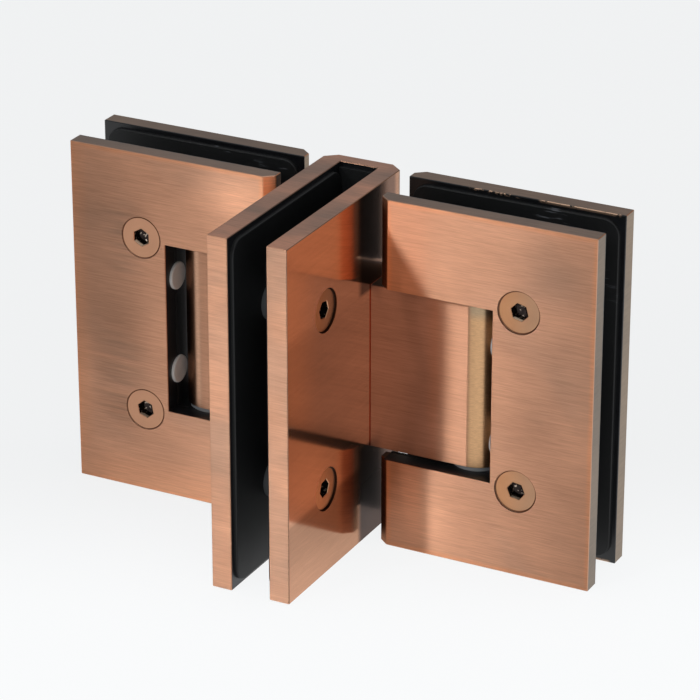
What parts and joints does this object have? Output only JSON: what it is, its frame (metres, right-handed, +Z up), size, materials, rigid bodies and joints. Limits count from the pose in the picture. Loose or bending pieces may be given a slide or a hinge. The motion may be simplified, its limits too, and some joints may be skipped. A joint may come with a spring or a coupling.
{
  "type": "three-way glass-to-glass door hinge",
  "caption": "Three-way glass door hinge: a U clamp for a fixed glass panel, with a swinging leaf on a vertical pivot at each side, each gripping a glass door.",
  "frame": {"origin": "centre of the bounding box in plan, on the plane of the bottom edges that it stands on", "axes": "+X along the two leaves to the right, +Y to the back (the fixed glass goes off towards -Y), +Z up along the pivot pins"},
  "size_m": [0.14, 0.0596, 0.09],
  "materials": {
    "antique_copper": "brushed antique copper plate on solid brass, fine horizontal brushing",
    "antique_copper_screws": "turned and plated screw heads, same antique copper",
    "polished_copper": "polished antique copper plate on solid brass",
    "black_rubber": "matte black rubber gasket",
    "clear_sleeve": "clear plastic sleeve",
    "nylon": "natural nylon",
    "grey_bumper": "translucent grey rubber bumper",
    "steel": "turned stainless steel"
  },
  "bodies": {
    "centre": {"centre_clamp_body": "antique_copper", "centre_right_gasket": "black_rubber", "centre_left_gasket": "black_rubber", "centre_slot_strip": "black_rubber", "centre_clamp_screws": "antique_copper_screws", "centre_screw_sleeves": "clear_sleeve", "right_knuckle": "polished_copper", "right_knuckle_screws": "steel", "right_pressure_block": "nylon", "right_pressure_springs": "steel", "left_knuckle": "polished_copper", "left_knuckle_screws": "steel", "left_pressure_block": "nylon", "left_pressure_springs": "steel"},
    "right_leaf": {"right_front_plate": "antique_copper", "right_rear_plate": "antique_copper", "right_front_gasket": "black_rubber", "right_rear_gasket": "black_rubber", "right_pivot_pin": "steel", "right_upper_washer": "nylon", "right_lower_washer": "nylon", "right_leaf_screws": "antique_copper_screws", "right_screw_sleeves": "clear_sleeve", "right_stop_bumpers": "grey_bumper"},
    "left_leaf": {"left_front_plate": "antique_copper", "left_rear_plate": "antique_copper", "left_front_gasket": "black_rubber", "left_rear_gasket": "black_rubber", "left_pivot_pin": "steel", "left_upper_washer": "nylon", "left_lower_washer": "nylon", "left_leaf_screws": "antique_copper_screws", "left_screw_sleeves": "clear_sleeve", "left_stop_bumpers": "grey_bumper"}
  },
  "joints": [
    {"name": "right_leaf_swing", "type": "hinge", "parent": "centre", "child": "right_leaf", "pos_m": [0.0361, 0.0188, 0.045], "axis": [0, 0, 1], "range_deg": [-90, 90]},
    {"name": "left_leaf_swing", "type": "hinge", "parent": "centre", "child": "left_leaf", "pos_m": [-0.0361, 0.0188, 0.045], "axis": [0, 0, 1], "range_deg": [-90, 90]}
  ]
}
